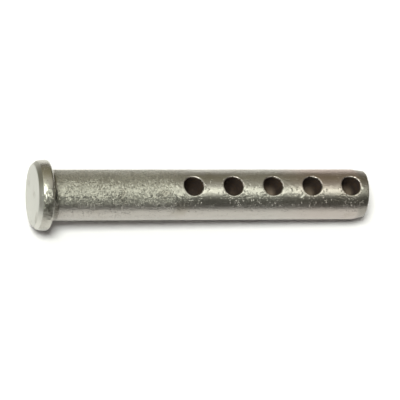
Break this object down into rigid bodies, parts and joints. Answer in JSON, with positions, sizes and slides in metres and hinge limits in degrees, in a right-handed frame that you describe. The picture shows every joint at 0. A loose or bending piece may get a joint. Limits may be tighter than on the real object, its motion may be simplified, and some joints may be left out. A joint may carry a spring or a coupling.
{
  "type": "clevis pin",
  "caption": "Headed steel pin with a row of cross holes through its shank, which joins a clevis and is locked by a split pin at one of several grip lengths.",
  "frame": {"origin": "centre of the head's flat face, on the surface that the pin stands on", "axes": "+Z along the pin from the head to the point; every cross hole runs along Y"},
  "size_m": [0.0108, 0.0108, 0.0532],
  "materials": {
    "zinc_plated_steel": "bright zinc plate over tumbled steel, satin with a fine speckle"
  },
  "bodies": {
    "root": {"clevis_pin": "zinc_plated_steel"}
  },
  "joints": []
}
